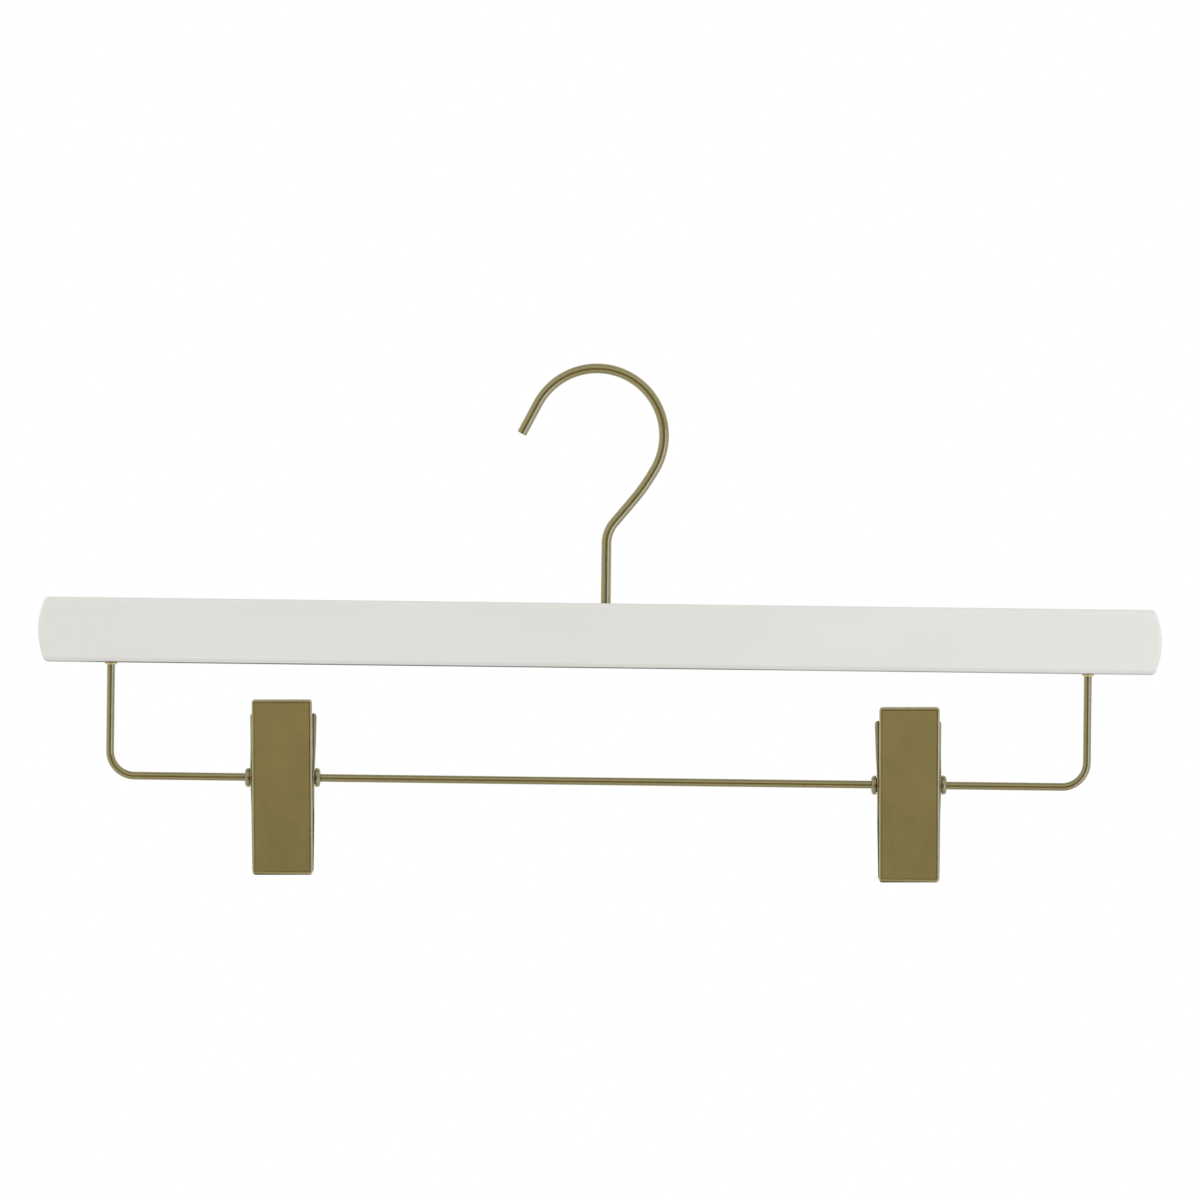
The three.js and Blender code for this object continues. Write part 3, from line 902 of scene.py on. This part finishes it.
class Finish(Nodes):
    """A material in the making: one shader and the nodes that feed it."""

    BEVEL_SAMPLES = 6
    HOLLOW_SAMPLES = 8

    def __init__(self, name):
        self.material = bpy.data.materials.new(name)
        self.material.use_nodes = True
        super().__init__(self.material.node_tree)
        self.shader = self.node("ShaderNodeBsdfPrincipled")
        output = self.node("ShaderNodeOutputMaterial")
        self.tree.links.new(self.shader.outputs["BSDF"], output.inputs["Surface"])
        self.place = self.node("ShaderNodeTexCoord").outputs["Object"]

    def set(self, **inputs):
        """Feed the shader's own sockets."""
        for name, value in inputs.items():
            self.feed(self.shader.inputs[name.replace("_", " ")], value)

    def axes(self):
        """The place on the piece as X, Y and Z."""
        return self.node("ShaderNodeSeparateXYZ", Vector=self.place).outputs

    def noise(self, waves, detail, roughness=0.55):
        """Noise on the piece, with the number of its waves per millimetre in each direction."""
        scale = [number / MM for number in waves]
        where = self.node("ShaderNodeMapping", Vector=self.place, Scale=scale).outputs["Vector"]
        made = self.node(
            "ShaderNodeTexNoise", Vector=where, Scale=1.0, Detail=detail, Roughness=roughness
        )
        return made.outputs["Fac"]

    def patches(self, waves, detail, low, high, to_low=0.0, to_high=1.0):
        """Soft-edged patches of noise."""
        return self.between(self.noise(waves, detail), low, high, to_low, to_high)

    def edges(self, radius, low, high):
        """1 along the piece's edges and 0 on its faces."""
        soft = self.node("ShaderNodeBevel", {"samples": self.BEVEL_SAMPLES}, Radius=radius)
        true = self.node("ShaderNodeNewGeometry").outputs["Normal"]
        straight = self.vectors("DOT_PRODUCT", soft.outputs["Normal"], true)
        return self.between(self.minus(1.0, straight), low, high)

    def hollows(self, reach, low, high):
        """1 in grooves and inner corners, 0 in the open."""
        made = self.node(
            "ShaderNodeAmbientOcclusion",
            {"samples": self.HOLLOW_SAMPLES, "only_local": True},
            Distance=reach,
        )
        return self.below(made.outputs["AO"], low, high)

    def gild(self, body, rough, coat_rough, coat_ior):
        """Gold plating under a clear lacquer."""
        self.set(Base_Color=body, Metallic=1.0, Roughness=rough)
        self.set(Coat_Weight=1.0, Coat_Roughness=coat_rough, Coat_IOR=coat_ior)

    def bump(self, height, distance, strength=1.0):
        """Raise the surface a little."""
        made = self.node("ShaderNodeBump", Height=height, Distance=distance, Strength=strength)
        self.set(Normal=made.outputs["Normal"])


def lacquer_finish():
    """White satin lacquer on wood: orange peel, grain and a few scuffs, with painted shade along the
    arrises and a painted shadow line along the foot.
    """
    white, bright = shade(0.755, 0.746, 0.708), shade(0.775, 0.766, 0.728)
    scuffed, bare = shade(0.42, 0.41, 0.39), shade(0.6, 0.56, 0.47)
    arris_shade_grey, shadow_line_grey = shade(0.705, 0.695, 0.657), shade(0.2, 0.195, 0.175)
    cloud_waves, scuff_waves, rub_waves = (0.012, 0.03, 0.03), (0.16, 0.5, 0.5), (0.05, 0.3, 0.3)
    grain_waves, peel_waves = (0.025, 1.1, 1.1), (0.55, 0.55, 0.55)
    finish = Finish("white_satin_lacquer")
    body = finish.tint(finish.patches(cloud_waves, 2.0, 0.35, 0.65), white, bright)
    marks = finish.noise(scuff_waves, 4.0, 0.6)
    scuffs = finish.times(finish.between(marks, 0.69, 0.74), 0.16)
    body = finish.tint(scuffs, body, scuffed)
    rub = finish.patches(rub_waves, 3.0, 0.45, 0.7)
    worn = finish.times(finish.times(finish.edges(0.9 * MM, 0.03, 0.2), rub), 0.22)
    body = finish.tint(worn, body, bare)

    axes = finish.axes()
    raised = finish.minus(axes["Z"], bar_bottom)
    sunk = finish.minus(bar_top, axes["Z"])
    outside = finish.between(finish.without_sign(axes["Y"]), *BAR_OUTSIDE)
    # Painted shade: greyer along the top and lower arrises of the front and back faces
    low_arris_shade_mask = finish.between(raised, *LOW_ARRIS_SHADE_START)
    low_arris_shade_mask = finish.times(low_arris_shade_mask, finish.below(raised, *LOW_ARRIS_SHADE_END))
    arris_shade_mask = finish.larger(low_arris_shade_mask, finish.below(sunk, *TOP_ARRIS_SHADE))
    body = finish.tint(finish.times(arris_shade_mask, outside), body, arris_shade_grey)
    # Painted shadow: a dark line along the foot of the front and back faces, strongest left of the middle,
    # weaker to the right and gone at the ends
    along = finish.minus(axes["X"], bar_x)
    shadow_line_strength = finish.between(along, *SHADOW_LINE_FADE, 0.95, 0.3)
    short_of_end = finish.below(finish.without_sign(along), *SHADOW_LINE_END)
    shadow_line = finish.times(finish.below(raised, *SHADOW_LINE_HEIGHT), outside)
    shadow_line = finish.times(shadow_line, finish.times(shadow_line_strength, short_of_end))
    body = finish.tint(shadow_line, body, shadow_line_grey)

    grain = finish.noise(grain_waves, 2.0)
    peel = finish.noise(peel_waves, 2.0)
    sheen = finish.shares(peel, 0.07, grain, 0.08)
    rough = finish.plus(finish.plus(sheen, finish.times(scuffs, 0.6)), 0.27)
    finish.set(Base_Color=body, Roughness=rough)
    finish.bump(finish.shares(peel, 0.6, grain, 0.4), 0.006 * MM)
    return finish.material


def plate_finish():
    """Lacquered gold plating on rolled sheet: fine grain along it, mottling, worn rims and tarnish, with
    painted light: paler towards the top, painted shade in the pressed line, a painted highlight and shadow
    at the foot.
    """
    shaded_grip_dark, shaded_grip_pale = shade(0.279, 0.239, 0.077), shade(0.311, 0.261, 0.086)
    lit_handle_dark, lit_handle_pale = shade(0.303, 0.253, 0.083), shade(0.337, 0.275, 0.092)
    pitted, rubbed, bright = shade(0.12, 0.085, 0.03), shade(0.45, 0.38, 0.2), shade(0.5, 0.44, 0.19)
    tarnish_and_shade = shade(0.1, 0.058, 0.018)
    cloud_waves, pit_waves, rub_waves = (0.11, 0.11, 0.07), (1.7, 1.7, 1.7), (0.35, 0.35, 0.2)
    grain_waves, soft_waves = (3.2, 3.2, 0.05), (0.5, 0.5, 0.3)
    finish = Finish("antique_gold_plate")
    axes = finish.axes()
    raised = finish.minus(axes["Z"], rail_height)
    cloud = finish.patches(cloud_waves, 3.0, 0.3, 0.7)
    # Painted light: darker at the grip and paler towards the top of the handle
    grip = finish.tint(cloud, shaded_grip_dark, shaded_grip_pale)
    handle = finish.tint(cloud, lit_handle_dark, lit_handle_pale)
    body = finish.tint(finish.between(raised, *GRIP_SHADE_TO_HANDLE_LIGHT), grip, handle)
    pits = finish.times(finish.patches(pit_waves, 2.0, 0.72, 0.8), 0.15)
    body = finish.tint(pits, body, pitted)
    rub = finish.patches(rub_waves, 3.0, 0.3, 0.65, 0.35, 1.0)
    worn = finish.times(finish.edges(0.4 * MM, 0.05, 0.35), rub)
    body = finish.tint(finish.times(worn, 0.15), body, rubbed)
    # Painted highlight: a paler band just above the foot's edge
    body = finish.tint(finish.between(raised, *FOOT_HIGHLIGHT_BAND, 0.5, 0.0), body, bright)

    # Tarnish in the pressed line, with painted shade: it is kept strongest on the right and at the top
    on_right_clip = finish.maths("GREATER_THAN", axes["X"], bar_x)
    middle = finish.mixed(on_right_clip, clip_places["left"].x, clip_places["right"].x)
    line_shade_side = finish.between(finish.minus(axes["X"], middle), *LINE_SHADE_ACROSS, 0.05, 0.9)
    line_shade_side = finish.times(line_shade_side, finish.between(raised, *LINE_SHADE_UP, 0.55, 1.0))
    line_shade_side = finish.larger(line_shade_side, finish.between(raised, *LINE_SHADE_TOP))
    line_shade_side = finish.times(line_shade_side, finish.between(raised, *LINE_SHADE_FOOT, 0.5, 1.0))
    in_line = finish.times(finish.hollows(0.35 * MM, 0.5, 0.9), line_shade_side)

    # Painted shadow on the lower edge, and darker along the rims that close on each other under the pivot
    foot_shadow = finish.below(raised, *FOOT_SHADOW_EDGE)
    fall = (FLANGE_DEPTH - BOTTOM_LIP) / (REAR_JAW["below"] - FLANGE_REACH)
    rim_at_pivot = JAW_REACH - FLANGE_DEPTH - FLANGE_REACH * fall
    rim = finish.plus(finish.times(raised, math.sin(JAW_TILT) - fall), rim_at_pivot)
    apart = finish.times(finish.without_sign(axes["Y"]), math.cos(JAW_TILT))
    closing = finish.between(finish.minus(rim, apart), *CLOSING_RIM)
    closing = finish.times(closing, finish.between(raised, *CLOSING_HEIGHT, 0.5, 0.0))
    tarnish_and_shade_mask = finish.larger(finish.larger(in_line, foot_shadow), closing)
    body = finish.tint(tarnish_and_shade_mask, body, tarnish_and_shade)

    grain = finish.noise(grain_waves, 2.0)
    soft = finish.noise(soft_waves, 2.0)
    finish.gild(body, finish.plus(finish.shares(grain, 0.1, soft, 0.1), 0.5), 0.1, 1.85)
    # The painted shadow at the foot also loses most of its clear coat, so it mirrors less
    finish.set(Coat_Weight=finish.minus(1.0, finish.times(foot_shadow, 0.7)))
    finish.bump(finish.shares(grain, 0.5, soft, 0.5), 0.003 * MM)
    return finish.material


def wire_finish():
    """The same plating on drawn wire, with lines along it and dark cut ends."""
    gold, pale_gold = shade(0.212, 0.172, 0.036), shade(0.23, 0.188, 0.042)
    dull, cut_end = shade(0.12, 0.08, 0.025), shade(0.05, 0.034, 0.012)
    cloud_waves, line_waves, soft_waves = (0.08, 0.4, 0.08), (0.02, 3.0, 0.02), (0.6, 0.6, 0.6)
    finish = Finish("antique_gold_wire")
    body = finish.tint(finish.patches(cloud_waves, 3.0, 0.3, 0.7), gold, pale_gold)
    lines = finish.noise(line_waves, 2.0)
    body = finish.tint(finish.times(finish.between(lines, 0.55, 0.75), 0.2), body, dull)
    body = finish.tint(finish.times(finish.edges(0.3 * MM, 0.06, 0.3), 0.8), body, cut_end)
    soft = finish.noise(soft_waves, 2.0)
    finish.gild(body, finish.plus(finish.shares(lines, 0.1, soft, 0.1), 0.34), 0.05, 1.85)
    finish.bump(soft, 0.002 * MM)
    return finish.material


def fitting_finish():
    """Plated turned fittings, a little paler, with turning lines and bright rims."""
    gold, pale_gold, bright = shade(0.205, 0.165, 0.05), shade(0.235, 0.19, 0.062), shade(0.5, 0.43, 0.26)
    cloud_waves, line_waves, soft_waves = (0.4, 0.4, 0.4), (4.0, 0.25, 0.25), (1.3, 1.3, 1.3)
    finish = Finish("pale_gold_fitting")
    body = finish.tint(finish.patches(cloud_waves, 3.0, 0.3, 0.7), gold, pale_gold)
    body = finish.tint(finish.times(finish.edges(0.25 * MM, 0.05, 0.35), 0.4), body, bright)
    lines = finish.noise(line_waves, 2.0)
    soft = finish.noise(soft_waves, 2.0)
    finish.gild(body, finish.plus(finish.shares(lines, 0.1, soft, 0.1), 0.4), 0.1, 1.8)
    finish.bump(finish.shares(lines, 0.5, soft, 0.5), 0.003 * MM)
    return finish.material


def eyelet_finish():
    """Bright gold plating on the small eyelets, dulled in patches."""
    dull, gold, bright = shade(0.56, 0.44, 0.13), shade(0.68, 0.55, 0.19), shade(0.8, 0.7, 0.36)
    cloud_waves, soft_waves = (0.7, 0.7, 0.7), (1.6, 1.6, 1.6)
    finish = Finish("bright_gold_eyelet")
    body = finish.tint(finish.patches(cloud_waves, 3.0, 0.3, 0.7), dull, gold)
    body = finish.tint(finish.times(finish.edges(0.2 * MM, 0.05, 0.35), 0.4), body, bright)
    soft = finish.noise(soft_waves, 2.0)
    finish.gild(body, finish.plus(finish.times(soft, 0.2), 0.22), 0.08, 1.6)
    finish.bump(soft, 0.003 * MM)
    return finish.material


def spring_finish():
    """Drawn spring steel with a dull oil film and draw lines."""
    dark, pale, oily = shade(0.36, 0.35, 0.335), shade(0.47, 0.46, 0.44), shade(0.2, 0.17, 0.13)
    cloud_waves, oil_waves, line_waves = (0.5, 0.5, 0.5), (0.9, 0.9, 0.9), (5.0, 0.8, 0.8)
    finish = Finish("drawn_spring_steel")
    body = finish.tint(finish.patches(cloud_waves, 3.0, 0.35, 0.7), dark, pale)
    stain = finish.times(finish.patches(oil_waves, 3.0, 0.6, 0.75), 0.35)
    body = finish.tint(stain, body, oily)
    lines = finish.noise(line_waves, 2.0)
    rough = finish.plus(finish.shares(lines, 0.14, stain, 0.3), 0.22)
    finish.set(Base_Color=body, Metallic=1.0, Roughness=rough)
    finish.bump(lines, 0.003 * MM)
    return finish.material


def washer_finish():
    """Stamped steel with a mottled zinc skin and brighter rims."""
    dark, pale, bright = shade(0.42, 0.415, 0.4), shade(0.54, 0.535, 0.52), shade(0.68, 0.675, 0.66)
    cloud_waves, soft_waves = (0.8, 0.8, 0.8), (2.2, 2.2, 2.2)
    finish = Finish("stamped_steel")
    cloud = finish.between(finish.noise(cloud_waves, 4.0, 0.65), 0.35, 0.65)
    body = finish.tint(cloud, dark, pale)
    body = finish.tint(finish.times(finish.edges(0.2 * MM, 0.04, 0.3), 0.5), body, bright)
    soft = finish.noise(soft_waves, 3.0)
    finish.set(Base_Color=body, Metallic=1.0, Roughness=finish.plus(finish.times(soft, 0.25), 0.25))
    finish.bump(soft, 0.006 * MM)
    return finish.material


def rubber_finish():
    """Matt moulded rubber with a fine spark-eroded skin, paler where it rubs."""
    black, grey, rubbed = shade(0.022, 0.021, 0.019), shade(0.034, 0.033, 0.03), shade(0.075, 0.072, 0.066)
    cloud_waves, skin_waves = (0.25, 0.25, 0.25), (4.5, 4.5, 4.5)
    finish = Finish("matt_grip_rubber")
    body = finish.tint(finish.patches(cloud_waves, 3.0, 0.3, 0.7), black, grey)
    body = finish.tint(finish.times(finish.edges(0.25 * MM, 0.04, 0.3), 0.5), body, rubbed)
    skin = finish.noise(skin_waves, 3.0)
    finish.set(Base_Color=body, Roughness=finish.plus(finish.times(skin, 0.25), 0.6))
    finish.bump(skin, 0.03 * MM, 0.6)
    return finish.material


def dress(piece, slot, finish=None):
    """Give a piece its finish, which is the slot's own unless another is named."""
    piece.data.materials.clear()
    piece.data.materials.append(finishes[finish or slot])


def stand_for(piece, node, body, slot, finish=None):
    """Let a rigid piece ride on its body in place of a solid."""
    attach(piece, body)
    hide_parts(node)
    dress(piece, slot, finish)


def show_camera():
    """The photograph's view: a long lens far off, level with the bar and rolled a little."""
    camera_data = bpy.data.cameras.new("camera")
    camera = bpy.data.objects.new("camera", camera_data)
    bpy.context.scene.collection.objects.link(camera)
    camera_data.lens = CAMERA_LENS
    camera.location = CAMERA_PLACE
    camera.rotation_euler = (math.pi / 2, CAMERA_ROLL, 0)
    bpy.context.scene.camera = camera
    bpy.context.scene.view_settings.view_transform = "Standard"


def light_room():
    """A white room: soft light all round, a dim patch where the viewer stands and a softbox beside it."""
    white, black = shade(1.08, 1.08, 1.06), shade(0, 0, 0)
    viewer_shade, softbox_light = shade(0.1, 0.03, 0.02), shade(2.1, 2.35, 4.0)
    backdrop = shade(1, 1, 1)
    world = bpy.data.worlds.new("white_studio")
    bpy.context.scene.world = world
    world.use_nodes = True
    room = Nodes(world.node_tree)
    way = room.node("ShaderNodeTexCoord").outputs["Generated"]
    ray = room.node("ShaderNodeLightPath").outputs

    def toward(direction):
        return room.vectors("DOT_PRODUCT", way, Vector(direction).normalized())

    # What polished metal mirrors
    up = toward(UP)
    viewer = room.between(toward(VIEWER_WAY), *VIEWER_PATCH)
    eye_level = room.without_sign(room.plus(up, VIEWER_DROP))
    dim = room.times(viewer, room.below(eye_level, *VIEWER_HEIGHT))
    shown = room.tint(dim, white, viewer_shade)
    ends = room.between(room.without_sign(up), *ROOM_ENDS, 0.0, ROOM_END_DIM)
    shown = room.tint(ends, shown, black)
    box_front = room.between(toward(SOFTBOX_WAY), *SOFTBOX_FRONT)
    box_wide = room.below(room.without_sign(toward(SOFTBOX_ACROSS)), *SOFTBOX_WIDTH)
    box_tall = room.below(room.without_sign(room.plus(up, SOFTBOX_DROP)), *SOFTBOX_HEIGHT)
    softbox = room.times(box_front, room.times(box_wide, box_tall))
    mirrored = room.tint(softbox, shown, softbox_light)

    # What lights the pieces, and what is seen behind them
    fill = room.between(up, *FILL_RISE, *FILL_LEVELS)
    fill = room.times(fill, room.between(up, *FILL_CEILING, 1.0, FILL_CEILING_DIM))
    level = room.tint(ray["Is Glossy Ray"], fill, mirrored)
    plain = room.larger(ray["Is Camera Ray"], ray["Is Transmission Ray"])
    level = room.tint(plain, level, backdrop)
    light = room.node("ShaderNodeBackground", Color=level, Strength=1.0)
    output = room.node("ShaderNodeOutputWorld")
    room.tree.links.new(light.outputs["Background"], output.inputs["Surface"])


def hang_lamps():
    """A soft lamp in front of each half of the bar."""
    for side, power in LAMP_POWERS.items():
        way = SIDE_WAYS[side]
        lamp_data = bpy.data.lights.new(side + "_lamp", "AREA")
        lamp_data.energy = power
        lamp_data.size = LAMP_SIZE
        lamp = bpy.data.objects.new(side + "_lamp", lamp_data)
        lamp.location = (bar_x + way * LAMP_DISTANCE, -LAMP_DISTANCE, bar_middle + LAMP_RISE)
        lamp.rotation_euler = (LAMP_PITCH, 0, way * LAMP_TURN)
        lamp.visible_camera = False
        lamp.visible_glossy = False
        bpy.context.scene.collection.objects.link(lamp)


def lay_floor():
    """A pale round floor under the hanger that fades into the white room and isn't seen from beneath."""
    centre = (bar_x, 0, FLOOR_HEIGHT)
    white, bright = shade(0.86, 0.86, 0.855), shade(0.9, 0.9, 0.895)
    grey = shade(0.15, 0.15, 0.15)
    cloud_waves = (0.02, 0.02, 0.02)
    let_go()
    bpy.ops.mesh.primitive_circle_add(vertices=FLOOR_SIDES, radius=FLOOR_RADIUS, fill_type="NGON")
    floor = bpy.context.object
    floor.name = "floor"
    floor.location = centre
    settle(floor)
    finish = Finish("pale_floor")
    ray = finish.node("ShaderNodeLightPath").outputs
    pale = finish.tint(finish.noise(cloud_waves, 3.0), white, bright)
    finish.set(Base_Color=finish.tint(ray["Is Diffuse Ray"], pale, grey), Roughness=0.8)
    fade = finish.below(finish.vectors("DISTANCE", finish.place, centre), *FLOOR_FADE)
    under = finish.node("ShaderNodeNewGeometry").outputs["Backfacing"]
    unseen = finish.larger(ray["Is Glossy Ray"], under)
    finish.set(Alpha=finish.times(fade, finish.minus(1.0, unseen)))
    floor.data.materials.append(finish.material)


finishes = {
    "lacquered_wood": lacquer_finish(),
    "brass_wire": wire_finish(),
    "brass_plate": plate_finish(),
    "brass_fitting": fitting_finish(),
    "eyelet": eyelet_finish(),
    "spring_steel": spring_finish(),
    "washer_steel": washer_finish(),
    "grip_rubber": rubber_finish(),
}
bar = make_bar()
hook = make_hook()
rail = make_rail()
washer = make_washer()
ferrules = {side: make_ferrule(side + "_ferrule", way) for side, way in SIDE_WAYS.items()}
stand_for(bar, "bar", "hanger", "lacquered_wood")
stand_for(hook, "hook", "hook", "brass_wire")
stand_for(rail, "rail", "hanger", "brass_wire")
stand_for(washer, "hook_washer", "hanger", "washer_steel")
for side, ferrule in ferrules.items():
    stand_for(ferrule, "rail_ferrule_" + side, "hanger", "brass_fitting", "eyelet")

front_pattern = make_jaw("front_plate_pattern", FRONT_JAW)
rear_pattern = make_jaw("rear_plate_pattern", REAR_JAW)
tube_pattern = make_tube("tube_pattern")
pad_pattern = make_pad("pad_pattern")
spring_pattern = make_spring("spring_pattern")
for side, centre in clip_places.items():
    front = place(copy_of(front_pattern, side + "_front_plate"), centre, JAW_TILT)
    rear = place(copy_of(rear_pattern, side + "_rear_plate"), centre, JAW_TILT, HALF_TURN)
    front_grip = place(copy_of(pad_pattern, side + "_front_grip"), centre, JAW_TILT)
    rear_grip = place(copy_of(pad_pattern, side + "_rear_grip"), centre, JAW_TILT, HALF_TURN)
    rivet = place(copy_of(tube_pattern, side + "_hollow_rivet"), centre)
    coil = place(copy_of(spring_pattern, side + "_coil"), centre)
    stand_for(front, side + "_front_jaw", side + "_front", "brass_plate")
    stand_for(rear, side + "_rear_jaw", side + "_rear", "brass_plate")
    stand_for(front_grip, side + "_front_pad", side + "_front", "grip_rubber")
    stand_for(rear_grip, side + "_rear_pad", side + "_rear", "grip_rubber")
    stand_for(rivet, side + "_pivot_tube", side + "_tube", "brass_fitting")
    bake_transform(coil)
    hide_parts(side + "_spring")
    dress(coil, "spring_steel")
for pattern in (front_pattern, rear_pattern, tube_pattern, pad_pattern, spring_pattern):
    bpy.data.objects.remove(pattern)

show_camera()
light_room()
hang_lamps()
lay_floor()
